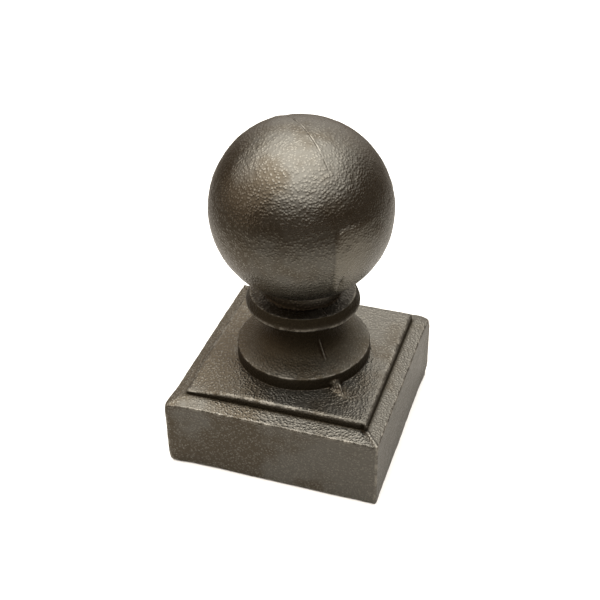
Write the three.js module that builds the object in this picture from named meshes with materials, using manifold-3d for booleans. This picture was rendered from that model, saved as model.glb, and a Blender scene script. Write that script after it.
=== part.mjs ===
// A cast iron ball post cap: a ball on a waisted neck with a tapered collar, on a square base
// that slips over a square post. Millimetres, +Z up. The origin is the middle of the
// underside. The front is -Y. The mould parts along the upright plane through the front
// right (+X, -Y) and back left corners.

import * as THREE from 'three';
import { mergeVertices } from 'three/addons/utils/BufferGeometryUtils.js';
import Module from 'manifold-3d';

// The post and the socket that slips over it
const POST_WIDTH = 40;
const POST_CLEARANCE = 0.75;
const WALL = 4.25;
const SOCKET_DRAFT = 0.3;
const SOCKET_CORNER_RADIUS = 1.2;
const PLATE_THICKNESS = 5.65;

// The square base
const SIDE_HEIGHT = 17.65;
const BORDER_WIDTH = 3.55;
const BORDER_RISE = 0.85;
const PANEL_RISE = 2.15;
const CORNER_RADIUS = 0.6;
const UNDERSIDE_EDGE_RADIUS = 0.6;
const BASE_EDGE_RADIUS = 0.4;
const PANEL_EDGE_RADIUS = 0.8;

// The round foot, the flare that turns up into the upright waist, and the collar
const FOOT_RADIUS = 15.7;
const FOOT_RISE = 3.25;
const FOOT_EDGE_RADIUS = 0.3;
const FLARE_RADIUS = 12.4;
const FLARE_RISE = 0.85;
const WAIST_RADIUS = 8;
const WAIST_BOTTOM_RISE = 5.9;
const WAIST_TOP_RISE = 7.4;
const COLLAR_RADIUS = 13.25;
const COLLAR_TAPER = 0.85;
const COLLAR_RISE = 11;
const COLLAR_THICKNESS = 3.2;
const COLLAR_BOTTOM_EDGE_RADIUS = 0.8;
const COLLAR_TOP_EDGE_RADIUS = 0.25;
const THROAT_RADIUS = 8.7;
const THROAT_FILLET = 0.8;

// The ball, and how far its lowest point would be above the collar
const BALL_RADIUS = 20.35;
const BALL_GAP = 1;

// The fin left where the two halves of the mould met, the lump of flash beside the foot in
// its line, and the web that fills the flare's corner
const FIN_WIDTH = 0.6;
const FIN_HEIGHT = 0.2;
const FLASH_WIDTH = 1.8;
const FLASH_BOTTOM_REACH = 4;
const FLASH_TOP_REACH = 2.5;
const FLASH_RISE = 1.75;
const WEB_REACH = 11.4;
const WEB_TOP_RISE = 5;

// How finely round stretches are divided
const TURNING_SEGMENTS = 64;
const BALL_STEPS = 22;
const CURVE_STEPS = 6;
const EDGE_STEPS = 2;
const CORNER_STEPS = 4;

// How far a piece reaches into the next one, and a cutter past what it cuts
const OVERLAP = 1;
const MERGE_TOLERANCE = 1e-4;

// Sizes worked out from those above
const SOCKET_HALF = POST_WIDTH / 2 + POST_CLEARANCE;
const BASE_HALF = SOCKET_HALF + WALL;
const PANEL_HALF = BASE_HALF - BORDER_WIDTH;
const PANEL_FOOT = SIDE_HEIGHT + BORDER_RISE;
const PANEL_TOP = PANEL_FOOT + PANEL_RISE;
const SOCKET_DEPTH = PANEL_TOP - PLATE_THICKNESS;
const FOOT_TOP = PANEL_TOP + FOOT_RISE;
const COLLAR_BOTTOM = FOOT_TOP + COLLAR_RISE;
const COLLAR_TOP = COLLAR_BOTTOM + COLLAR_THICKNESS;
const BALL_CENTRE = COLLAR_TOP + BALL_GAP + BALL_RADIUS;
const BALL_SEAT_DEPTH = Math.sqrt(BALL_RADIUS ** 2 - THROAT_RADIUS ** 2);

const wasm = await Module();
wasm.setup();

// A point of a profile: its distance from the axis and its height.
function at(radius, height) {
  return new THREE.Vector2(radius, height);
}

// Points along an arc of a circle, from one angle to another.
function arc(centre, radius, from, to, steps) {
  const clockwise = to < from;
  const curve = new THREE.EllipseCurve(centre.x, centre.y, radius, radius, from, to, clockwise);
  return curve.getPoints(steps);
}

// Points along a smooth bend whose two ends point at the same corner.
function bend(start, corner, end, steps) {
  return new THREE.QuadraticBezierCurve(start, corner, end).getPoints(steps);
}

// A rounded outside edge of a profile, from the upright side in to the top.
function roundedTop(radius, height, edgeRadius) {
  const centre = at(radius - edgeRadius, height - edgeRadius);
  return arc(centre, edgeRadius, 0, Math.PI / 2, EDGE_STEPS);
}

// The half outline of the foot's upright side and top edge.
function footProfile() {
  return [
    at(FOOT_RADIUS, PANEL_TOP - OVERLAP),
    ...roundedTop(FOOT_RADIUS, FOOT_TOP, FOOT_EDGE_RADIUS),
  ];
}

// How high the flare's gentle slope lies at a distance from the axis.
function flareHeight(radius) {
  const slopeReach = FOOT_RADIUS - FOOT_EDGE_RADIUS - FLARE_RADIUS;
  return FOOT_TOP + FLARE_RISE * ((FOOT_RADIUS - FOOT_EDGE_RADIUS - radius) / slopeReach);
}

// The half outline of the flare's slope and of its bend up into the waist.
function flareProfile() {
  const slopeEnd = at(FLARE_RADIUS, flareHeight(FLARE_RADIUS));
  const corner = at(WAIST_RADIUS, flareHeight(WAIST_RADIUS));
  const waistBottom = at(WAIST_RADIUS, FOOT_TOP + WAIST_BOTTOM_RISE);
  return bend(slopeEnd, corner, waistBottom, CURVE_STEPS);
}

// The half outline of the collar, from the waist under it to the throat under the ball.
function collarProfile() {
  const waistTop = at(WAIST_RADIUS, FOOT_TOP + WAIST_TOP_RISE);
  const underCorner = at(WAIST_RADIUS, COLLAR_BOTTOM);
  const edgeRadius = COLLAR_BOTTOM_EDGE_RADIUS;
  const edgeCentre = at(COLLAR_RADIUS - edgeRadius, COLLAR_BOTTOM + edgeRadius);
  const underEnd = at(edgeCentre.x, COLLAR_BOTTOM);
  const topFillet = at(THROAT_RADIUS + THROAT_FILLET, COLLAR_TOP);
  const throatCorner = at(THROAT_RADIUS, COLLAR_TOP);
  const throatFillet = at(THROAT_RADIUS, COLLAR_TOP + THROAT_FILLET);
  return [
    ...bend(waistTop, underCorner, underEnd, CURVE_STEPS),
    ...arc(edgeCentre, edgeRadius, -Math.PI / 2, 0, EDGE_STEPS).slice(1),
    ...roundedTop(COLLAR_RADIUS - COLLAR_TAPER, COLLAR_TOP, COLLAR_TOP_EDGE_RADIUS),
    ...bend(topFillet, throatCorner, throatFillet, EDGE_STEPS),
  ];
}

// The half outline of the ball, from its seat on the throat to its top on the axis.
function ballProfile() {
  const seatAngle = Math.atan2(-BALL_SEAT_DEPTH, THROAT_RADIUS);
  const outline = arc(at(0, BALL_CENTRE), BALL_RADIUS, seatAngle, Math.PI / 2, BALL_STEPS);
  outline[BALL_STEPS].x = 0;
  return outline;
}

// The half outline of the base from its underside to the panel: half width and height.
function baseProfile() {
  const undersideCentre = at(BASE_HALF - UNDERSIDE_EDGE_RADIUS, UNDERSIDE_EDGE_RADIUS);
  return [
    ...arc(undersideCentre, UNDERSIDE_EDGE_RADIUS, -Math.PI / 2, 0, EDGE_STEPS),
    ...roundedTop(BASE_HALF, SIDE_HEIGHT, BASE_EDGE_RADIUS),
    at(PANEL_HALF, PANEL_FOOT),
    ...roundedTop(PANEL_HALF, PANEL_TOP, PANEL_EDGE_RADIUS),
  ];
}

// One level of a square block seen from above: a ring of points round a square with
// rounded corners.
function squareRing(half, height, radius) {
  const ring = [];
  for (let corner = 0; corner < 4; corner += 1) {
    const from = (corner * Math.PI) / 2;
    const middle = from + Math.PI / 4;
    const centreX = Math.sign(Math.cos(middle)) * (half - radius);
    const centreY = Math.sign(Math.sin(middle)) * (half - radius);
    for (let step = 0; step <= CORNER_STEPS; step += 1) {
      const angle = from + (step / CORNER_STEPS) * (Math.PI / 2);
      ring.push(new THREE.Vector3(
        centreX + radius * Math.cos(angle),
        centreY + radius * Math.sin(angle),
        height,
      ));
    }
  }
  return ring;
}

// A closed block through rings of equally many points, one above the other.
function stackRings(rings) {
  const count = rings[0].length;
  const points = rings.flat();
  const triangles = [];
  for (let level = 0; level < rings.length - 1; level += 1) {
    for (let i = 0; i < count; i += 1) {
      const a = level * count + i;
      const b = level * count + ((i + 1) % count);
      triangles.push(a, b, b + count, a, b + count, a + count);
    }
  }
  const bottomMiddle = points.length;
  const topMiddle = bottomMiddle + 1;
  const topStart = (rings.length - 1) * count;
  points.push(new THREE.Vector3(0, 0, rings[0][0].z));
  points.push(new THREE.Vector3(0, 0, rings[rings.length - 1][0].z));
  for (let i = 0; i < count; i += 1) {
    const next = (i + 1) % count;
    triangles.push(bottomMiddle, next, i);
    triangles.push(topMiddle, topStart + i, topStart + next);
  }
  const geometry = new THREE.BufferGeometry().setFromPoints(points);
  geometry.setIndex(triangles);
  return geometry;
}

// The square base, without its socket.
function baseBlock() {
  const rings = baseProfile().map(({ x: half, y: height }) => {
    const inset = Math.min(BASE_HALF - half, CORNER_RADIUS / 2);
    return squareRing(half, height, CORNER_RADIUS - inset);
  });
  return stackRings(rings);
}

// What the socket takes out of the base: a square that narrows a little towards its ceiling.
function socketBlock() {
  const ceilingHalf = SOCKET_HALF - SOCKET_DRAFT;
  return stackRings([
    squareRing(SOCKET_HALF, -OVERLAP, SOCKET_CORNER_RADIUS),
    squareRing(SOCKET_HALF, 0, SOCKET_CORNER_RADIUS),
    squareRing(ceilingHalf, SOCKET_DEPTH, SOCKET_CORNER_RADIUS),
  ]);
}

// The turned neck and ball, closed underneath inside the base.
function turnedBlock() {
  const outline = [
    at(0, PANEL_TOP - OVERLAP),
    ...footProfile(),
    ...flareProfile(),
    ...collarProfile(),
    ...ballProfile(),
  ];
  return new THREE.LatheGeometry(outline, TURNING_SEGMENTS).rotateX(Math.PI / 2);
}

// Where a parting corner of the base lies, measured from the axis along the diagonal.
function diagonalReach(half) {
  return (half - CORNER_RADIUS) * Math.SQRT2 + CORNER_RADIUS;
}

// An outline moved outwards by the height of the fin. It runs from the outside up and in.
function raised(outline) {
  return outline.map((point, i) => {
    const before = outline[Math.max(i - 1, 0)];
    const after = outline[Math.min(i + 1, outline.length - 1)];
    const along = after.clone().sub(before).normalize();
    return at(point.x + FIN_HEIGHT * along.y, point.y - FIN_HEIGHT * along.x);
  });
}

// A slab in the parting plane, centred on it.
function partingSlab(points, thickness) {
  const outline = new THREE.Shape(points);
  const slab = new THREE.ExtrudeGeometry(outline, { depth: thickness, bevelEnabled: false });
  return slab.translate(0, 0, -thickness / 2).rotateX(Math.PI / 2).rotateZ(-Math.PI / 4);
}

// The lump of flash's outline on one side, from its foot on the panel to the foot's side.
function flashProfile() {
  return [
    at(FOOT_RADIUS + FLASH_BOTTOM_REACH, PANEL_TOP),
    at(FOOT_RADIUS + FLASH_TOP_REACH, PANEL_TOP + FLASH_RISE),
    at(FOOT_RADIUS, PANEL_TOP + FLASH_RISE),
  ];
}

// The two lumps of flash, joined through the foot.
function flashBlock() {
  const rightSide = flashProfile();
  const leftSide = rightSide.map(({ x, y }) => at(-x, y)).reverse();
  const lowest = PANEL_TOP - OVERLAP;
  const points = [
    at(rightSide[0].x, lowest),
    ...rightSide,
    ...leftSide,
    at(-rightSide[0].x, lowest),
  ];
  return partingSlab(points, FLASH_WIDTH);
}

// The thin slab in the parting plane that stands out of the casting as its fin.
function finBlock() {
  const overBase = [
    at(BASE_HALF - BASE_EDGE_RADIUS, SIDE_HEIGHT),
    at(PANEL_HALF, PANEL_FOOT),
    ...roundedTop(PANEL_HALF, PANEL_TOP, PANEL_EDGE_RADIUS),
  ].map(({ x: half, y: height }) => at(diagonalReach(half), height));
  const overFoot = [
    ...flashProfile(),
    ...roundedTop(FOOT_RADIUS, FOOT_TOP, FOOT_EDGE_RADIUS),
  ];
  const web = [
    at(WEB_REACH, flareHeight(WEB_REACH)),
    at(WAIST_RADIUS, FOOT_TOP + WEB_TOP_RISE),
  ];
  const aboveBase = [...overFoot, ...web, ...collarProfile(), ...ballProfile()];
  const rightSide = raised([...overBase, ...aboveBase]);
  const top = rightSide.pop();
  const leftSide = rightSide.map(({ x, y }) => at(-x, y)).reverse();
  const lowest = SIDE_HEIGHT - OVERLAP;
  const points = [
    at(rightSide[0].x, lowest),
    ...rightSide,
    at(0, top.y),
    ...leftSide,
    at(-rightSide[0].x, lowest),
  ];
  return partingSlab(points, FIN_WIDTH);
}

// A closed geometry as a solid that can be joined and cut.
function toSolid(geometry) {
  const bare = geometry.clone();
  bare.deleteAttribute('normal');
  bare.deleteAttribute('uv');
  const merged = mergeVertices(bare, MERGE_TOLERANCE);
  const triangles = [];
  for (let i = 0; i < merged.index.count; i += 3) {
    const a = merged.index.getX(i);
    const b = merged.index.getX(i + 1);
    const c = merged.index.getX(i + 2);
    if (a !== b && b !== c && c !== a) {
      triangles.push(a, b, c);
    }
  }
  return new wasm.Manifold(new wasm.Mesh({
    numProp: 3,
    vertProperties: merged.attributes.position.array,
    triVerts: new Uint32Array(triangles),
  }));
}

// A solid back as a geometry for a mesh.
function toGeometry(solid) {
  const mesh = solid.getMesh();
  const geometry = new THREE.BufferGeometry();
  geometry.setAttribute('position', new THREE.BufferAttribute(mesh.vertProperties, 3));
  geometry.setIndex(new THREE.BufferAttribute(mesh.triVerts, 1));
  geometry.computeVertexNormals();
  return geometry;
}

const iron = new THREE.MeshStandardMaterial({ color: 0x5d544b, roughness: 0.5, metalness: 0.9 });

const casting = toSolid(baseBlock())
  .add(toSolid(turnedBlock()))
  .add(toSolid(flashBlock()))
  .add(toSolid(finBlock()))
  .subtract(toSolid(socketBlock()));

const cap = new THREE.Mesh(toGeometry(casting), iron);
cap.name = 'ball_post_cap';

const part = new THREE.Group();
part.add(cap);

export default part;
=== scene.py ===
import math

import bmesh
import bpy
import numpy as np
from mathutils import Matrix, Vector, noise


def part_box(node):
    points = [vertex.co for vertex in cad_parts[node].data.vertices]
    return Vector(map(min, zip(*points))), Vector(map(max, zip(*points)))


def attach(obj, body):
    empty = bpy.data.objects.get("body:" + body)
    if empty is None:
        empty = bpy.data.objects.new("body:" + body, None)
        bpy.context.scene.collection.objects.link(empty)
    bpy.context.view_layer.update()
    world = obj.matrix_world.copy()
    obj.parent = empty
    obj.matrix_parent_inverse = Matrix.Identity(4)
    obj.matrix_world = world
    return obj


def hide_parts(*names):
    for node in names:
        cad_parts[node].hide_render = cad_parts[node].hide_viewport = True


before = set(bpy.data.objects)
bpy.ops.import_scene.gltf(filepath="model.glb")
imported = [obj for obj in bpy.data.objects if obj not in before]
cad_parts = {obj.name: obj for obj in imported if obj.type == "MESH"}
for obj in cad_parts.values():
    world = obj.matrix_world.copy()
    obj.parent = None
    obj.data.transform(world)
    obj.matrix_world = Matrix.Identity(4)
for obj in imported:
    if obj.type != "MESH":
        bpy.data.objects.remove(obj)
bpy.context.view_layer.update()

# The cap is shaped in millimetres and brought to metres at the end.
MM = 0.001
NODE = "ball_post_cap"
low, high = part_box(NODE)

# The square base and its socket
BASE_HALF = high[0] / MM
SIDE_HEIGHT = 17.65
UNDERSIDE_EDGE_RADIUS = 0.6
BASE_EDGE_RADIUS = 0.45
PANEL_HALF = BASE_HALF - 3.55
PANEL_FOOT = SIDE_HEIGHT + 0.85
PANEL_TOP = PANEL_FOOT + 2.15
PANEL_EDGE_RADIUS = 0.85
CORNER_RADIUS = 0.6
PANEL_CORNER_RADIUS = 0.4
SOCKET_MOUTH_HALF = 20.75
SOCKET_CEILING_HALF = 20.45
SOCKET_DEPTH = 15.0
SOCKET_CORNER_RADIUS = 1.2
SOCKET_EDGE_RADIUS = 0.5

# The round foot, the flare that turns up into the upright waist, and the collar
FOOT_RADIUS = 15.7
FOOT_TOP = PANEL_TOP + 3.25
FOOT_EDGE_RADIUS = 0.35
FLARE_RADIUS = 12.4
FLARE_RISE = 0.85
WAIST_RADIUS = 8.0
WAIST_BOTTOM = FOOT_TOP + 5.9
WAIST_TOP = FOOT_TOP + 7.4
COLLAR_RADIUS = 13.25
COLLAR_TAPER = 0.85
COLLAR_BOTTOM = FOOT_TOP + 11.0
COLLAR_TOP = COLLAR_BOTTOM + 3.2
COLLAR_BOTTOM_EDGE_RADIUS = 0.8
COLLAR_TOP_EDGE_RADIUS = 0.25
THROAT_RADIUS = 8.7
THROAT_FILLET = 0.8

# The ball
BALL_RADIUS = 20.35
BALL_CENTRE = COLLAR_TOP + 1.0 + BALL_RADIUS

# What fills two corners in the parting plane: flash beside the foot, a web over the flare
FLASH_BOTTOM_REACH = FOOT_RADIUS + 4.0
FLASH_TOP_REACH = FOOT_RADIUS + 2.3
FLASH_TOP = PANEL_TOP + 1.75
WEB_REACH = 11.4
WEB_TOP = FOOT_TOP + 5.0
FLASH_HALF_WIDTH = 1.0
WEB_HALF_WIDTH = 0.25

# How finely the skin is divided
COLUMNS_PER_SIDE = 72
COLUMNS = 4 * COLUMNS_PER_SIDE
PARTING_CROWDING = 0.8
PARTING_CROWDING_WIDTH = 0.05
CORNER_CROWDING = 0.65
CORNER_CROWDING_WIDTH = 0.1
ROW_STEP = 0.46
FLAT_STEP = 0.75
HIDDEN_STEP = 1.6
EDGE_ROWS = 3
CORNER_GAP = 0.12


class Row:
    """One level of the cap's half outline: its reach from the axis and its height."""

    def __init__(self, reach, height, square=0.0, corner=0.0):
        self.reach = reach
        self.height = height
        self.square = square
        self.corner = corner
        self.filled_place = None
        self.filled_width = 0.0


def steps_for(length, step):
    return max(1, round(length / step))


def straight(start, end, step):
    """Points from just after start to end."""
    count = steps_for(math.dist(start, end), step)
    return [
        tuple(a + (b - a) * i / count for a, b in zip(start, end))
        for i in range(1, count + 1)
    ]


def short_of(start, end):
    """The point a small gap before the end of a line, to keep an inside corner sharp."""
    share = CORNER_GAP / math.dist(start, end)
    return tuple(b + (a - b) * share for a, b in zip(start, end))


def arc(centre, radius, start, end, count):
    """Points of an arc from just after the start angle to the end angle, in degrees."""
    turns = [math.radians(start + (end - start) * i / count) for i in range(1, count + 1)]
    return [(centre[0] + radius * math.cos(t), centre[1] + radius * math.sin(t)) for t in turns]


def bend(start, corner, end, step):
    """Points from just after start to end, of a bend whose ends point at the corner."""
    count = steps_for(math.dist(start, corner) + math.dist(corner, end), step)
    points = []
    for i in range(1, count + 1):
        t = i / count
        weights = ((1 - t) ** 2, 2 * t * (1 - t), t**2)
        points.append(tuple(sum(w * p[k] for w, p in zip(weights, (start, corner, end))) for k in (0, 1)))
    return points


def square_rows(points, corner):
    return [Row(x, z, 1.0, corner) for x, z in points]


def socket_rows():
    """From the middle of the socket's ceiling, down its wall and over the rim's inner edge."""
    ceiling_corner = (SOCKET_CEILING_HALF, SOCKET_DEPTH)
    wall_foot = (SOCKET_MOUTH_HALF, SOCKET_EDGE_RADIUS)
    edge_centre = (SOCKET_MOUTH_HALF + SOCKET_EDGE_RADIUS, SOCKET_EDGE_RADIUS)
    points = [(0.0, SOCKET_DEPTH)]
    points += straight(points[0], ceiling_corner, HIDDEN_STEP)
    points += straight(ceiling_corner, wall_foot, HIDDEN_STEP)
    points += arc(edge_centre, SOCKET_EDGE_RADIUS, 180, 270, EDGE_ROWS)
    return square_rows(points, SOCKET_CORNER_RADIUS)


def base_rows():
    """From the underside up the base's side to where the border meets the panel."""
    under = UNDERSIDE_EDGE_RADIUS
    top = BASE_EDGE_RADIUS
    rim_start = (SOCKET_MOUTH_HALF + SOCKET_EDGE_RADIUS, 0.0)
    rim_end = (BASE_HALF - under, 0.0)
    points = straight(rim_start, rim_end, FLAT_STEP)
    points += arc((BASE_HALF - under, under), under, -90, 0, EDGE_ROWS)
    points += straight((BASE_HALF, under), (BASE_HALF, SIDE_HEIGHT - top), FLAT_STEP)
    points += arc((BASE_HALF - top, SIDE_HEIGHT - top), top, 0, 90, EDGE_ROWS)
    border_start = (BASE_HALF - top, SIDE_HEIGHT)
    panel_corner = (PANEL_HALF, PANEL_FOOT)
    points += straight(border_start, short_of(border_start, panel_corner), ROW_STEP)
    points.append(panel_corner)
    return square_rows(points, CORNER_RADIUS)


def diagonal_reach(row):
    """How far the row reaches in the parting plane, through two corners of its square."""
    square_reach = (row.reach - row.corner) * math.sqrt(2) + row.corner
    return row.reach + (square_reach - row.reach) * row.square


def fill_corner(rows, points, width):
    """In the parting plane these rows run straight from point to point, on a rib this wide."""
    for index, row in enumerate(rows):
        reached = (index + 1) / (len(rows) + 1) * (len(points) - 1)
        stretch = int(reached)
        share = reached - stretch
        ends = zip(points[stretch], points[stretch + 1])
        row.filled_place = tuple(a + (b - a) * share for a, b in ends)
        row.filled_width = width


def panel_and_foot_rows():
    """Up the panel's side, over its top, where the square turns into the round foot, and up
    the foot's side, with flash across the corner between them."""
    edge = PANEL_EDGE_RADIUS
    wall_top = (PANEL_HALF, PANEL_TOP - edge)
    points = [short_of(wall_top, (PANEL_HALF, PANEL_FOOT))]
    points += straight(points[0], wall_top, ROW_STEP)
    points += arc((PANEL_HALF - edge, PANEL_TOP - edge), edge, 0, 90, EDGE_ROWS)
    rows = square_rows(points, PANEL_CORNER_RADIUS)
    start = (PANEL_HALF - edge, PANEL_TOP)
    foot_corner = (FOOT_RADIUS, PANEL_TOP)
    for x, z in straight(start, short_of(start, foot_corner), ROW_STEP) + [foot_corner]:
        square = (x - FOOT_RADIUS) / (start[0] - FOOT_RADIUS)
        rows.append(Row(x, z, square, PANEL_CORNER_RADIUS))
    edge = FOOT_EDGE_RADIUS
    wall_top = (FOOT_RADIUS, FOOT_TOP - edge)
    points = [short_of(wall_top, foot_corner)]
    points += straight(points[0], wall_top, ROW_STEP)
    points += arc((FOOT_RADIUS - edge, FOOT_TOP - edge), edge, 0, 90, EDGE_ROWS)
    rows += [Row(x, z) for x, z in points]
    beside_foot = [
        row for row in rows if diagonal_reach(row) < FLASH_BOTTOM_REACH and row.height < FLASH_TOP
    ]
    lump = ((FLASH_BOTTOM_REACH, PANEL_TOP), (FLASH_TOP_REACH, FLASH_TOP), (FOOT_RADIUS, FLASH_TOP))
    fill_corner(beside_foot, lump, FLASH_HALF_WIDTH)
    return rows


def flare_rows():
    """The flare's gentle slope and its bend up into the waist, with a web across the bend."""
    slope_start = (FOOT_RADIUS - FOOT_EDGE_RADIUS, FOOT_TOP)
    slope_end = (FLARE_RADIUS, FOOT_TOP + FLARE_RISE)
    slope = FLARE_RISE / (slope_start[0] - slope_end[0])
    corner = (WAIST_RADIUS, slope_end[1] + slope * (FLARE_RADIUS - WAIST_RADIUS))
    points = straight(slope_start, slope_end, ROW_STEP)
    points += bend(slope_end, corner, (WAIST_RADIUS, WAIST_BOTTOM), ROW_STEP)
    points += straight((WAIST_RADIUS, WAIST_BOTTOM), (WAIST_RADIUS, WAIST_TOP), ROW_STEP)
    rows = [Row(x, z) for x, z in points]
    web_start = (WEB_REACH, FOOT_TOP + slope * (slope_start[0] - WEB_REACH))
    under_web = [row for row in rows if row.reach < WEB_REACH and row.height < WEB_TOP]
    fill_corner(under_web, (web_start, (WAIST_RADIUS, WEB_TOP)), WEB_HALF_WIDTH)
    return rows


def collar_rows():
    """From the waist out under the collar, up its side and in over its top to the throat."""
    low_edge = COLLAR_BOTTOM_EDGE_RADIUS
    high_edge = COLLAR_TOP_EDGE_RADIUS
    bottom_centre = (COLLAR_RADIUS - low_edge, COLLAR_BOTTOM + low_edge)
    top_centre = (COLLAR_RADIUS - COLLAR_TAPER - high_edge, COLLAR_TOP - high_edge)
    side_bottom = (COLLAR_RADIUS, bottom_centre[1])
    side_top = (top_centre[0] + high_edge, top_centre[1])
    waist_top = (WAIST_RADIUS, WAIST_TOP)
    under_end = (bottom_centre[0], COLLAR_BOTTOM)
    throat_start = (THROAT_RADIUS + THROAT_FILLET, COLLAR_TOP)
    throat_end = (THROAT_RADIUS, COLLAR_TOP + THROAT_FILLET)
    seat = (THROAT_RADIUS, BALL_CENTRE - math.sqrt(BALL_RADIUS**2 - THROAT_RADIUS**2))
    points = bend(waist_top, (WAIST_RADIUS, COLLAR_BOTTOM), under_end, ROW_STEP)
    points += arc(bottom_centre, low_edge, -90, 0, 2 * EDGE_ROWS)
    points += straight(side_bottom, side_top, ROW_STEP)
    points += arc(top_centre, high_edge, 0, 90, EDGE_ROWS)
    points += straight((top_centre[0], COLLAR_TOP), throat_start, ROW_STEP)
    points += bend(throat_start, (THROAT_RADIUS, COLLAR_TOP), throat_end, ROW_STEP)
    points += straight(throat_end, seat, ROW_STEP)
    return [Row(x, z) for x, z in points]


def ball_rows():
    """From the ball's seat round its widest place to the top, on the axis."""
    seat = -math.degrees(math.acos(THROAT_RADIUS / BALL_RADIUS))
    count = steps_for(math.radians(90 - seat) * BALL_RADIUS, ROW_STEP)
    points = arc((0.0, BALL_CENTRE), BALL_RADIUS, seat, 90, count)
    points[-1] = (0.0, points[-1][1])
    return [Row(x, z) for x, z in points]


# Where the mould parts: the upright plane through the front right and back left corners
PARTING_ANGLE = -45.0
PARTING_ALONG = Vector((math.cos(math.radians(PARTING_ANGLE)), math.sin(math.radians(PARTING_ANGLE)), 0))
PARTING_ACROSS = Vector((-PARTING_ALONG.y, PARTING_ALONG.x, 0))


def crowd(u, strength, width):
    """0 to 1, with points crowded together near 0."""
    def gathered(v):
        return v + strength * width * (math.exp(-v / width) - 1)
    return gathered(u) / gathered(1.0)


def round_share(side, u):
    """How far round its quarter a column of the round part lies, close set at the parting."""
    if side % 2 == 0:
        return crowd(u, PARTING_CROWDING, PARTING_CROWDING_WIDTH)
    return 1 - crowd(1 - u, PARTING_CROWDING, PARTING_CROWDING_WIDTH)


def side_share(u):
    """How far along its side a column of the square part lies, close set at both corners."""
    if u < 0.5:
        return crowd(2 * u, CORNER_CROWDING, CORNER_CROWDING_WIDTH) / 2
    return 1 - crowd(2 - 2 * u, CORNER_CROWDING, CORNER_CROWDING_WIDTH) / 2


def round_place(row, side, u):
    turn = math.radians(PARTING_ANGLE + 90 * (side + round_share(side, u)))
    return Vector((row.reach * math.cos(turn), row.reach * math.sin(turn), row.height))


def square_place(row, side, u):
    """A point of a square with rounded corners."""
    half = row.reach
    radius = row.corner * min(1.0, half / SOCKET_CEILING_HALF)
    turn = math.radians(90 * side)
    out = Vector((math.cos(turn), math.sin(turn), 0))
    on = Vector((-out.y, out.x, 0))
    up = Vector((0, 0, row.height))
    flat = half - radius
    eighth = radius * math.pi / 4
    along = (side_share(u) * 2 - 1) * (flat + eighth)
    if abs(along) <= flat:
        return half * out + along * on + up
    angle = (abs(along) - flat) / radius
    corner = on if along > 0 else -on
    return flat * (out + corner) + radius * (math.cos(angle) * out + math.sin(angle) * corner) + up


def filled_share(row, point):
    """How much of a row's fill there is at a point: 1 in the parting plane."""
    if not row.filled_place:
        return 0.0
    return math.exp(-((point.dot(PARTING_ACROSS) / row.filled_width) ** 2))


def place(row, column):
    side, step = divmod(column, COLUMNS_PER_SIDE)
    u = step / COLUMNS_PER_SIDE
    if row.square == 0:
        point = round_place(row, side, u)
    elif row.square == 1:
        point = square_place(row, side, u)
    else:
        point = round_place(row, side, u).lerp(square_place(row, side, u), row.square)
    if row.filled_place:
        across = point.dot(PARTING_ACROSS)
        reach, height = row.filled_place
        direction = math.copysign(1, point.dot(PARTING_ALONG))
        filled = direction * reach * PARTING_ALONG + across * PARTING_ACROSS + Vector((0, 0, height))
        point = point.lerp(filled, filled_share(row, point))
    return point


def bell(distance, width):
    return math.exp(-((distance / width) ** 2))


def step_up(value):
    """0 below 0, 1 above 1 and smooth between."""
    value = min(1.0, max(0.0, value))
    return value * value * (3 - 2 * value)


# How much painted shade, and extra roughness, the skin gets at each height: from 0 on the open rims that
# hands and weather rub to 1 in the recesses where shade falls
SHADE_BY_HEIGHT = (
    (PANEL_FOOT - 0.2, 0.0),
    (PANEL_FOOT, 1.0),
    (PANEL_TOP - PANEL_EDGE_RADIUS, 0.9),
    (PANEL_TOP, 0.0),
    (PANEL_TOP + CORNER_GAP, 1.0),
    (FOOT_TOP - FOOT_EDGE_RADIUS, 0.9),
    (FOOT_TOP, 0.35),
    (FOOT_TOP + 0.4, 0.6),
    (FOOT_TOP + 1.2, 0.85),
    (FOOT_TOP + 2.5, 1.0),
    (COLLAR_BOTTOM, 1.0),
    (COLLAR_BOTTOM + 0.3, 0.0),
    (COLLAR_BOTTOM + 0.9, 0.3),
    (COLLAR_BOTTOM + 1.3, 1.0),
    (COLLAR_TOP - 0.05, 1.0),
    (COLLAR_TOP, 0.15),
    (COLLAR_TOP + 1.5, 0.3),
    (COLLAR_TOP + 3.5, 0.0),
)

# How much less painted shade and roughness the flash and the web get than the corners that they fill
FLASH_OPENNESS = 0.55


def recess_shade(height):
    """The share from the table above at a height."""
    heights, shares = zip(*SHADE_BY_HEIGHT)
    return float(np.interp(height, heights, shares))


def spin_skin(rows):
    """The cap's closed skin: its half outline spun round the axis, then its lower rows
    brought from circles to squares."""
    bm = bmesh.new()
    row_layer = bm.verts.layers.int.new("row")
    # The share of painted shade in the recesses, from the table above
    shade_layer = bm.verts.layers.float.new("recess_shade")
    chain = []
    for index, row in enumerate(rows):
        vert = bm.verts.new((row.reach, 0, row.height))
        vert[row_layer] = index
        vert[shade_layer] = recess_shade(row.height)
        chain.append(vert)
    edges = [bm.edges.new(pair) for pair in zip(chain, chain[1:])]
    bmesh.ops.spin(
        bm, geom=chain + edges, cent=(0, 0, 0), axis=(0, 0, 1), dvec=(0, 0, 0),
        angle=2 * math.pi, steps=COLUMNS, use_merge=True, use_normal_flip=False, use_duplicate=False,
    )
    bmesh.ops.remove_doubles(bm, verts=bm.verts[:], dist=1e-5)
    for vert in bm.verts:
        row = rows[vert[row_layer]]
        if row.reach == 0:
            continue
        turn = math.atan2(vert.co.y, vert.co.x) / (2 * math.pi) * COLUMNS
        vert.co = place(row, round(turn) % COLUMNS)
        vert[shade_layer] *= 1 - FLASH_OPENNESS * filled_share(row, vert.co)
    bmesh.ops.recalc_face_normals(bm, faces=bm.faces[:])
    return bm


def skin_rows():
    return socket_rows() + base_rows() + panel_and_foot_rows() + flare_rows() + collar_rows() + ball_rows()


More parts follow.
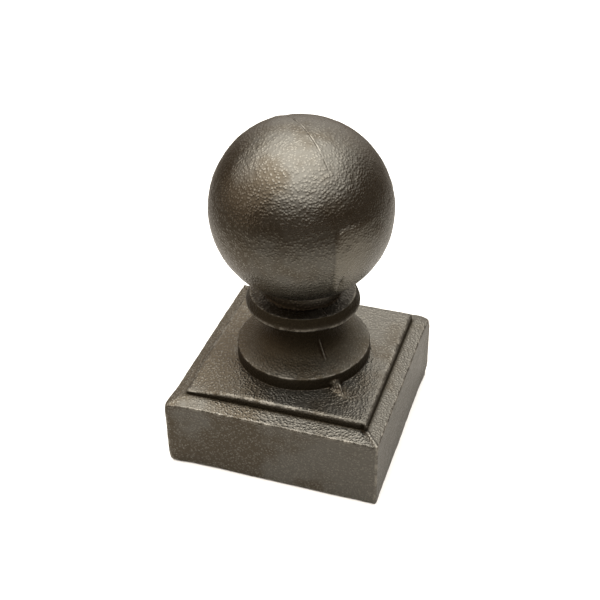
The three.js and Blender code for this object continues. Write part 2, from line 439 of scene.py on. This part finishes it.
# The seam where the two halves of the mould met. Widths are across the parting plane.
SEAM_RIDGE_HEIGHT = 0.16
SEAM_RIDGE_WIDTH = 0.16
SEAM_GROOVE_DEPTH = 0.18
SEAM_GROOVE_WIDTH = 0.14
SEAM_GROOVE_OFFSET = -0.3
SEAM_REACH = 1.5
SEAM_BREAKS_SIZE = 4.0
SEAM_LEAST = 0.2
SEAM_MEAN = 0.6
SEAM_VARIATION = 0.9
BALL_SEAM_SHARE = 0.6
FLARE_SEAM_SHARE = 0.2
BORDER_SEAM_SHARE = 2.4
BORDER_SEAM_SPREAD = 2.2
HALF_SHIFT = Vector((0, 0, 0.1)) - 0.05 * PARTING_ALONG
HALF_SHIFT_BLEND = 0.08
GROUND_BLEND = 0.9

# Where the seam was ground away in front, and what was left of it below
GROUND_TOP = BALL_CENTRE + 16.5
GROUND_FADE = 2.5
PANEL_SEAM_END = FLASH_BOTTOM_REACH + 1.6
PANEL_SEAM_FADE = 2.5
NOTCH_HEIGHT = BALL_CENTRE - 9.0
NOTCH_LENGTH = 1.5
NOTCH_DEPTH = 0.4
NOTCH_WIDTH = 1.6 * SEAM_GROOVE_WIDTH

# The patch on the ball's lower right where the iron was poured in and ground off: its
# middle, how far it reaches, how far its edge stands out, and where it fades to the right
PATCH_AZIMUTH = math.radians(-28)
PATCH_LATITUDE = math.radians(-11)
PATCH_HALF_TURN = math.radians(24)
PATCH_HALF_RISE = math.radians(27)
PATCH_HEIGHT = 0.4
PATCH_EDGE = 0.06
PATCH_SQUARENESS = 7
PATCH_FADE_START = -0.6

# The base's two other upright edges: which way, how far each stands out and how much its
# ends are worn round
OTHER_EDGES = ((-PARTING_ACROSS, 0.85, 0.3), (PARTING_ACROSS, 0.55, 0.5))
EDGE_STAND_OUT_REACH = 3.5
END_WEAR_REACH = 1.7

# The panel's front left corner is worn down
PANEL_WORN_CORNER = Vector((-PANEL_HALF, -PANEL_HALF))
PANEL_CORNER_WEAR = 0.55
PANEL_CORNER_WEAR_REACH = 7.0

# The unevenness that the sand left: size of each feature and how far it stands out
SAND_LAYERS = ((8.0, 0.10), (2.4, 0.05), (0.95, 0.035))


def seam_strength(place):
    """How much of the seam is left at a place."""
    along = place.dot(PARTING_ALONG)
    breaks = SEAM_MEAN + SEAM_VARIATION * noise.noise(place / SEAM_BREAKS_SIZE)
    strength = min(1.0, max(SEAM_LEAST, breaks))
    if place.z > COLLAR_TOP and along > 0:
        return BALL_SEAM_SHARE * strength * (1 - step_up((GROUND_TOP - place.z) / GROUND_FADE))
    if FOOT_TOP - FOOT_EDGE_RADIUS < place.z < COLLAR_BOTTOM:
        return strength * FLARE_SEAM_SHARE
    if PANEL_TOP - PANEL_EDGE_RADIUS < place.z < FOOT_TOP - FOOT_EDGE_RADIUS:
        return strength * (1 - step_up((abs(along) - PANEL_SEAM_END) / PANEL_SEAM_FADE))
    if SIDE_HEIGHT - BASE_EDGE_RADIUS < place.z < PANEL_TOP:
        return BORDER_SEAM_SHARE if along > 0 else 1.0
    return strength


def seam_height(place, strength):
    """How far the seam lifts the skin at a place: ridge, groove and notch together, with no
    ridge on the ball."""
    across = place.dot(PARTING_ACROSS)
    if place.z < PANEL_TOP:
        across /= BORDER_SEAM_SPREAD
    ridge = 0.0
    if place.z <= COLLAR_TOP:
        ridge = SEAM_RIDGE_HEIGHT * bell(across, SEAM_RIDGE_WIDTH)
    groove = SEAM_GROOVE_DEPTH * bell(across - SEAM_GROOVE_OFFSET, SEAM_GROOVE_WIDTH)
    lift = strength * (ridge - groove)
    if place.dot(PARTING_ALONG) > 0:
        notch = NOTCH_DEPTH * bell(place.z - NOTCH_HEIGHT, NOTCH_LENGTH)
        lift -= notch * bell(across - SEAM_GROOVE_OFFSET, NOTCH_WIDTH)
    return lift


def lay_seam(bm):
    """The seam over everything above the base's sides and down its parting corners, with the
    two halves of the ball and the neck a little out of line."""
    bm.normal_update()
    corner_reach = (BASE_HALF - 2 * CORNER_RADIUS) * math.sqrt(2)
    moves = []
    for vert in bm.verts:
        along = abs(vert.co.dot(PARTING_ALONG))
        if vert.co.z < SIDE_HEIGHT and along < corner_reach:
            moves.append(Vector())
            continue
        strength = seam_strength(vert.co)
        across = vert.co.dot(PARTING_ACROSS)
        side = math.tanh(across / (HALF_SHIFT_BLEND + GROUND_BLEND * max(0.0, 1 - strength)))
        raised = step_up((vert.co.z - PANEL_TOP) / (COLLAR_BOTTOM - PANEL_TOP))
        move = -side * raised * HALF_SHIFT
        if abs(across) < SEAM_REACH:
            move += seam_height(vert.co, strength) * vert.normal
        moves.append(move)
    for vert, move in zip(bm.verts, moves):
        vert.co += move


def lay_patch(bm):
    """The poured patch on the ball: flatter than the ball, with a raised edge on its left."""
    patch_layer = bm.verts.layers.float.new("patch")
    for vert in bm.verts:
        from_centre = vert.co - Vector((0, 0, BALL_CENTRE))
        if vert.co.z < COLLAR_TOP or from_centre.length < BALL_RADIUS / 2:
            continue
        turn = math.atan2(from_centre.y, from_centre.x) - PATCH_AZIMUTH
        rise = math.atan2(from_centre.z, from_centre.to_2d().length) - PATCH_LATITUDE
        sides = (abs(turn / PATCH_HALF_TURN), abs(rise / PATCH_HALF_RISE))
        reach = sum(side**PATCH_SQUARENESS for side in sides) ** (1 / PATCH_SQUARENESS)
        vert[patch_layer] = step_up((1 - reach) / PATCH_EDGE)
        vert[patch_layer] *= 1 - step_up(turn / PATCH_HALF_TURN - PATCH_FADE_START)
        vert.co += PATCH_HEIGHT * reach**2 * vert[patch_layer] * from_centre.normalized()


def lay_edges(bm):
    """The two upright edges away from the parting, out a little and worn at their ends."""
    for direction, stand_out, end_wear in OTHER_EDGES:
        foot = direction * BASE_HALF * math.sqrt(2)
        head = foot + Vector((0, 0, SIDE_HEIGHT))
        for vert in bm.verts:
            if vert.co.z > PANEL_FOOT:
                continue
            away = (vert.co - foot).to_2d().length
            move = stand_out * bell(away, EDGE_STAND_OUT_REACH) * direction
            for end, inward in ((foot, Vector((0, 0, 1))), (head, Vector((0, 0, -1)))):
                near = bell((vert.co - end).length, END_WEAR_REACH)
                move += end_wear * near * (inward - direction)
            vert.co += move


def wear_panel(bm):
    """The panel a little lower towards its worn corner."""
    for vert in bm.verts:
        if PANEL_FOOT < vert.co.z < PANEL_TOP + CORNER_GAP:
            near = bell((vert.co.to_2d() - PANEL_WORN_CORNER).length, PANEL_CORNER_WEAR_REACH)
            vert.co.z -= (vert.co.z - PANEL_FOOT) * PANEL_CORNER_WEAR * near


def lay_sand(bm):
    """The unevenness of the sand, over the whole skin. Nothing reaches below the rim."""
    bm.normal_update()
    for vert in bm.verts:
        lift = sum(depth * noise.noise(vert.co / size) for size, depth in SAND_LAYERS)
        vert.co += lift * vert.normal
        vert.co.z = max(vert.co.z, 0.0)


# How sharp a bend counts as fully worn, and over how many neighbours the wear spreads
WEAR_FULL_BEND = 0.8
WEAR_SPREAD = 2


def edge_wear(mesh):
    """For each point, how sharply the skin bends there: positive on edges that stand out,
    negative in corners, from -1 to 1, spread a little to either side."""
    count = len(mesh.vertices)
    places = np.empty(count * 3)
    normals = np.empty(count * 3)
    ends = np.empty(len(mesh.edges) * 2, dtype=int)
    mesh.vertices.foreach_get("co", places)
    mesh.vertices.foreach_get("normal", normals)
    mesh.edges.foreach_get("vertices", ends)
    places = places.reshape(-1, 3)
    normals = normals.reshape(-1, 3)
    start, end = ends.reshape(-1, 2).T
    along = places[end] - places[start]
    square_length = np.maximum((along**2).sum(1), 1e-6)
    bend = np.zeros(count)
    meetings = np.zeros(count)
    np.add.at(bend, start, -2 * (along * normals[start]).sum(1) / square_length)
    np.add.at(bend, end, 2 * (along * normals[end]).sum(1) / square_length)
    np.add.at(meetings, start, 1)
    np.add.at(meetings, end, 1)
    wear = np.clip(bend / meetings / WEAR_FULL_BEND, -1, 1)
    for _ in range(WEAR_SPREAD):
        spread = np.zeros(count)
        np.add.at(spread, start, wear[end])
        np.add.at(spread, end, wear[start])
        wear = (wear + spread / meetings) / 2
    return wear


def make_casting():
    bm = spin_skin(skin_rows())
    lay_edges(bm)
    wear_panel(bm)
    lay_seam(bm)
    lay_patch(bm)
    mesh = bpy.data.meshes.new("cast_iron_cap")
    bm.to_mesh(mesh)
    wear = edge_wear(mesh)
    lay_sand(bm)
    bmesh.ops.scale(bm, vec=(MM, MM, MM), verts=bm.verts[:])
    bm.to_mesh(mesh)
    bm.free()
    mesh.shade_smooth()
    attribute = mesh.attributes.new("wear", "FLOAT", "POINT")
    attribute.data.foreach_set("value", wear)
    casting = bpy.data.objects.new("cast_iron_cap", mesh)
    bpy.context.collection.objects.link(casting)
    return casting


def add_node(tree, kind, settings=None, **inputs):
    """A node with its settings and plain input values. Input names have _ for a space."""
    node = tree.nodes.new(kind)
    for name, value in (settings or {}).items():
        setattr(node, name, value)
    for name, value in inputs.items():
        node.inputs[name.replace("_", " ")].default_value = value
    return node


def remap(tree, source, low_in, high_in, low_out=0.0, high_out=1.0):
    """A value stretched smoothly from one range to another."""
    node = add_node(
        tree, "ShaderNodeMapRange", {"interpolation_type": "SMOOTHSTEP"},
        From_Min=low_in, From_Max=high_in, To_Min=low_out, To_Max=high_out,
    )
    tree.links.new(source, node.inputs["Value"])
    return node.outputs["Result"]


def calculate(tree, operation, first, second):
    """Two values, each a socket or a number, put together."""
    node = add_node(tree, "ShaderNodeMath", {"operation": operation})
    for socket, value in zip(node.inputs, (first, second)):
        if isinstance(value, (int, float)):
            socket.default_value = value
        else:
            tree.links.new(value, socket)
    return node.outputs["Value"]


def blend_colours(tree, share, first, second):
    """From the first colour to the second as the share goes from 0 to 1."""
    node = add_node(tree, "ShaderNodeMix", {"data_type": "RGBA"})
    tree.links.new(share, node.inputs["Factor"])
    for socket, value in ((node.inputs[6], first), (node.inputs[7], second)):
        if isinstance(value, tuple):
            socket.default_value = (*value, 1)
        else:
            tree.links.new(value, socket)
    return node.outputs[2]


# Features per metre of each layer of the sand's texture
GRAIN_SCALE = 1750
FINE_GRAIN_SCALE = 3600
WEAR_SCALE = 450
STAIN_SCALE = 70

# How high the grain stands, in metres, the finer grain's share of that, and how much it's
# changed where the skin is fine or coarse
GRAIN_RELIEF = 0.00006
FINE_RELIEF_SHARE = 0.35
FINE_SKIN_RELIEF = 0.8
COARSE_SKIN_RELIEF = 1.5

# The roughness between grains and on top of them, and what coarse skin and the recesses add
GRAIN_FOOT_ROUGHNESS = 0.33
GRAIN_TOP_ROUGHNESS = 0.25
COARSE_ROUGHNESS = 0.1
RECESS_ROUGHNESS = 0.25

# How much greyer the iron gets from left to right, over the stains
GREY_PER_METRE = 7

# The rusty stain round the neck's left side, in metres: its middle, how far it's full, how
# far it reaches and how strong it is
RUST_PLACE = Vector((-12, -4, 26)) * MM
RUST_FULL_REACH = 4 * MM
RUST_REACH = 21 * MM
RUST_SHARE = 0.5

# Below the first of these heights, in metres, the skin is coarse, above the other it's fine
COARSE_HEIGHT = COLLAR_BOTTOM * MM
FINE_HEIGHT = (COLLAR_TOP + 6) * MM

FRESH_IRON = (0.195, 0.183, 0.158)
GROUND_IRON = (0.19, 0.177, 0.15)
BROWN_IRON = (0.09, 0.076, 0.057)
GREY_IRON = (0.13, 0.123, 0.108)
# Painted shade, for the recesses
PAINTED_SHADE_IRON = (0.033, 0.0265, 0.017)
RUSTY_IRON = (0.035, 0.024, 0.014)
# Darker iron for the concave bends
CONCAVE_DARK_IRON = (0.022, 0.016, 0.01)
WORN_IRON = (0.25, 0.235, 0.205)


def noise_texture(tree, where, scale, detail, roughness=0.5):
    node = add_node(tree, "ShaderNodeTexNoise", Scale=scale, Detail=detail, Roughness=roughness)
    tree.links.new(where, node.inputs["Vector"])
    return node.outputs["Fac"]


def round_grains(tree, where, scale):
    """Round grains, 1 on top and 0 between them."""
    cells = add_node(tree, "ShaderNodeTexVoronoi", {"feature": "SMOOTH_F1"}, Scale=scale, Smoothness=0.35)
    tree.links.new(where, cells.inputs["Vector"])
    return remap(tree, cells.outputs["Distance"], 0.75, 0.1)


def attribute(tree, name):
    return add_node(tree, "ShaderNodeAttribute", {"attribute_name": name}).outputs["Fac"]


def cast_colour(tree, where, across, grain, fine, rubbed):
    """Brown and grey stains, greyer to the right, with fresh specks and the ground patch."""
    stains = noise_texture(tree, where, STAIN_SCALE, 3, 0.6)
    stains = calculate(tree, "ADD", stains, calculate(tree, "MULTIPLY", across, GREY_PER_METRE))
    plain = blend_colours(tree, remap(tree, stains, 0.4, 0.62), BROWN_IRON, GREY_IRON)
    specks = calculate(tree, "MULTIPLY", remap(tree, grain, 0.3, 1.0), remap(tree, fine, 0.35, 0.6))
    colour = blend_colours(tree, specks, plain, FRESH_IRON)
    ground = calculate(tree, "MULTIPLY", attribute(tree, "patch"), remap(tree, rubbed, 0.1, 0.5))
    return blend_colours(tree, ground, colour, GROUND_IRON)


def rust_share(tree, where):
    distance = add_node(tree, "ShaderNodeVectorMath", {"operation": "DISTANCE"})
    tree.links.new(where, distance.inputs[0])
    distance.inputs[1].default_value = RUST_PLACE
    return remap(tree, distance.outputs["Value"], RUST_REACH, RUST_FULL_REACH, 0, RUST_SHARE)


def weathered_and_shaded_colour(tree, where, colour, shade_mask, rubbed):
    """The colour, with painted shade darkening the recesses, darker where it's rusty, bright on open
    edges that are worn, and darker in concave corners."""
    wear = attribute(tree, "wear")
    # Painted shade: the recesses darkened towards the shade colour
    colour = blend_colours(tree, shade_mask, colour, PAINTED_SHADE_IRON)
    colour = blend_colours(tree, rust_share(tree, where), colour, RUSTY_IRON)
    edges = calculate(tree, "MULTIPLY", remap(tree, wear, 0.15, 0.8), remap(tree, rubbed, 0.42, 0.6))
    edges = calculate(tree, "MULTIPLY", edges, calculate(tree, "SUBTRACT", 1, shade_mask))
    colour = blend_colours(tree, edges, colour, WORN_IRON)
    # Darker where the skin bends inwards
    return blend_colours(tree, remap(tree, wear, -0.1, -0.8), colour, CONCAVE_DARK_IRON)


def iron_roughness(tree, grain, coarse, shade_mask):
    roughness = remap(tree, grain, 0.2, 0.9, GRAIN_FOOT_ROUGHNESS, GRAIN_TOP_ROUGHNESS)
    coarse_part = calculate(tree, "MULTIPLY", coarse, COARSE_ROUGHNESS)
    recess_part = calculate(tree, "MULTIPLY", shade_mask, RECESS_ROUGHNESS)
    return calculate(tree, "ADD", calculate(tree, "ADD", roughness, coarse_part), recess_part)


def grain_relief(tree, grain, fine, coarse):
    """The grain's own relief, too fine for the mesh, higher where the skin is coarse."""
    height = calculate(tree, "ADD", grain, calculate(tree, "MULTIPLY", fine, FINE_RELIEF_SHARE))
    strength = remap(tree, coarse, 0, 1, FINE_SKIN_RELIEF, COARSE_SKIN_RELIEF)
    bump = add_node(tree, "ShaderNodeBump", Distance=GRAIN_RELIEF, Strength=1.0)
    tree.links.new(calculate(tree, "MULTIPLY", height, strength), bump.inputs["Height"])
    return bump.outputs["Normal"]


def iron_material():
    """Bare sand-cast iron: grainy, brown in patches, bright on worn edges, with painted shade
    and more roughness in the recesses."""
    material = bpy.data.materials.new("cast iron")
    material.use_nodes = True
    tree = material.node_tree
    shader = tree.nodes["Principled BSDF"]
    shader.inputs["Metallic"].default_value = 1.0
    where = add_node(tree, "ShaderNodeTexCoord").outputs["Object"]
    split = add_node(tree, "ShaderNodeSeparateXYZ")
    tree.links.new(where, split.inputs["Vector"])
    coarse = remap(tree, split.outputs["Z"], FINE_HEIGHT, COARSE_HEIGHT)
    # The share of painted shade in the recesses, which also roughens them
    shade_mask = attribute(tree, "recess_shade")
    grain = round_grains(tree, where, GRAIN_SCALE)
    fine = noise_texture(tree, where, FINE_GRAIN_SCALE, 1)
    rubbed = noise_texture(tree, where, WEAR_SCALE, 2, 0.6)
    colour = cast_colour(tree, where, split.outputs["X"], grain, fine, rubbed)
    colour = weathered_and_shaded_colour(tree, where, colour, shade_mask, rubbed)
    tree.links.new(colour, shader.inputs["Base Color"])
    tree.links.new(iron_roughness(tree, grain, coarse, shade_mask), shader.inputs["Roughness"])
    tree.links.new(grain_relief(tree, grain, fine, coarse), shader.inputs["Normal"])
    return material


# The photograph's view, found from the base's corners and the ball's outline
CAMERA_AZIMUTH = 19.022
CAMERA_ELEVATION = 35.548
CAMERA_ROLL = -1.154
CAMERA_DISTANCE = 248.4
CAMERA_AIM = Vector((-0.732, 0.0, 34.605))
CAMERA_LENS = 64.36
SENSOR_WIDTH = 36.0


def make_camera():
    azimuth = math.radians(CAMERA_AZIMUTH)
    elevation = math.radians(CAMERA_ELEVATION)
    back = Vector((
        math.sin(azimuth) * math.cos(elevation),
        -math.cos(azimuth) * math.cos(elevation),
        math.sin(elevation),
    ))
    right = Vector((math.cos(azimuth), math.sin(azimuth), 0))
    turn = Matrix.Rotation(math.radians(CAMERA_ROLL), 3, back)
    right = turn @ right
    up = back.cross(right)
    data = bpy.data.cameras.new("camera")
    data.sensor_width = SENSOR_WIDTH
    data.lens = CAMERA_LENS
    data.clip_start = 0.01
    camera = bpy.data.objects.new("camera", data)
    axes = Matrix((right, up, back)).transposed()
    camera.matrix_world = Matrix.Translation((CAMERA_AIM + back * CAMERA_DISTANCE) * MM) @ axes.to_4x4()
    bpy.context.collection.objects.link(camera)
    bpy.context.scene.camera = camera


def softbox(name, place_m, aim_m, width, depth, radiance, colour):
    """A soft rectangular light, as bright as its radiance wherever it is mirrored."""
    data = bpy.data.lights.new(name, "AREA")
    data.shape = "RECTANGLE"
    data.size = width
    data.size_y = depth
    data.energy = radiance * math.pi * width * depth
    data.color = colour
    light = bpy.data.objects.new(name, data)
    light.location = place_m
    aim = Vector(aim_m) - Vector(place_m)
    light.rotation_euler = aim.to_track_quat("-Z", "Y").to_euler()
    bpy.context.collection.objects.link(light)


# The studio: a bright ceiling and a wide glow at the back, over a dim warm horizon, and a
# pale floor. The edge is where each light begins, the middle where it reaches its full.
CEILING_AIM = Vector((-0.05, 0.0, 1.0)).normalized()
CEILING_EDGE = math.radians(74)
CEILING_MIDDLE = math.radians(10)
CEILING_LIGHT = (4.25, 4.15, 3.95)
GLOW_AIM = Vector((-0.15, 0.78, 0.5)).normalized()
GLOW_EDGE = math.radians(56)
GLOW_MIDDLE = math.radians(20)
GLOW_LIGHT = (1.08, 1.0, 0.91)
HORIZON_LIGHT = (0.135, 0.087, 0.05)
FLOOR_RADIUS = 1.6
PALE_FLOOR = (0.96, 0.96, 0.955)
# The floor's painted pool of light, seen only in reflections: near and far
NEAR_FLOOR_LIGHT = (0.49, 0.475, 0.455)
FAR_FLOOR_LIGHT = (0.12, 0.105, 0.09)
NEAR_FLOOR_REACH = 0.02
FAR_FLOOR_REACH = 0.26


def make_floor():
    """The floor shows pale to the camera; to the cap it shows a painted pool of light, which
    gives less light the further away it is."""
    bm = bmesh.new()
    bmesh.ops.create_circle(bm, cap_ends=True, radius=FLOOR_RADIUS, segments=64)
    mesh = bpy.data.meshes.new("floor")
    bm.to_mesh(mesh)
    bm.free()
    floor = bpy.data.objects.new("floor", mesh)
    bpy.context.collection.objects.link(floor)
    material = bpy.data.materials.new("pale floor")
    material.use_nodes = True
    tree = material.node_tree
    shader = tree.nodes["Principled BSDF"]
    shader.inputs["Roughness"].default_value = 1.0
    shader.inputs["Specular IOR Level"].default_value = 0.0
    where = add_node(tree, "ShaderNodeTexCoord").outputs["Object"]
    reach = add_node(tree, "ShaderNodeVectorMath", {"operation": "LENGTH"})
    tree.links.new(where, reach.inputs[0])
    distance = remap(tree, reach.outputs["Value"], NEAR_FLOOR_REACH, FAR_FLOOR_REACH)
    # Painted pool of light: the floor darkens away from the cap for everything but the camera
    lit = blend_colours(tree, distance, NEAR_FLOOR_LIGHT, FAR_FLOOR_LIGHT)
    seen = add_node(tree, "ShaderNodeLightPath").outputs["Is Camera Ray"]
    tree.links.new(blend_colours(tree, seen, lit, PALE_FLOOR), shader.inputs["Base Color"])
    mesh.materials.append(material)


def sky_share(tree, direction, aim, edge, middle):
    """How much of a light shows in a direction: 0 at its edge, 1 in its middle."""
    towards = add_node(tree, "ShaderNodeVectorMath", {"operation": "DOT_PRODUCT"})
    tree.links.new(direction, towards.inputs[0])
    towards.inputs[1].default_value = aim
    angle = calculate(tree, "ARCCOSINE", towards.outputs["Value"], 0)
    return remap(tree, angle, edge, middle)


def make_sky():
    world = bpy.data.worlds.new("studio")
    world.use_nodes = True
    tree = world.node_tree
    background = tree.nodes["Background"]
    direction = add_node(tree, "ShaderNodeTexCoord").outputs["Generated"]
    glow = sky_share(tree, direction, GLOW_AIM, GLOW_EDGE, GLOW_MIDDLE)
    ceiling = sky_share(tree, direction, CEILING_AIM, CEILING_EDGE, CEILING_MIDDLE)
    light = blend_colours(tree, glow, HORIZON_LIGHT, GLOW_LIGHT)
    light = blend_colours(tree, ceiling, light, CEILING_LIGHT)
    seen = add_node(tree, "ShaderNodeLightPath").outputs["Is Camera Ray"]
    shown = blend_colours(tree, seen, light, PALE_FLOOR)
    tree.links.new(shown, background.inputs["Color"])
    background.inputs["Strength"].default_value = 1.0
    bpy.context.scene.world = world


def make_studio():
    make_floor()
    make_sky()
    softbox("left softbox", (-0.5, -0.18, 0.36), (0, 0, 0.04), 0.65, 0.8, 0.65, (1, 0.87, 0.74))
    bpy.context.scene.view_settings.view_transform = "Standard"


casting = make_casting()
casting.data.materials.append(iron_material())
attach(casting, "root")
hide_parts(NODE)
make_camera()
make_studio()
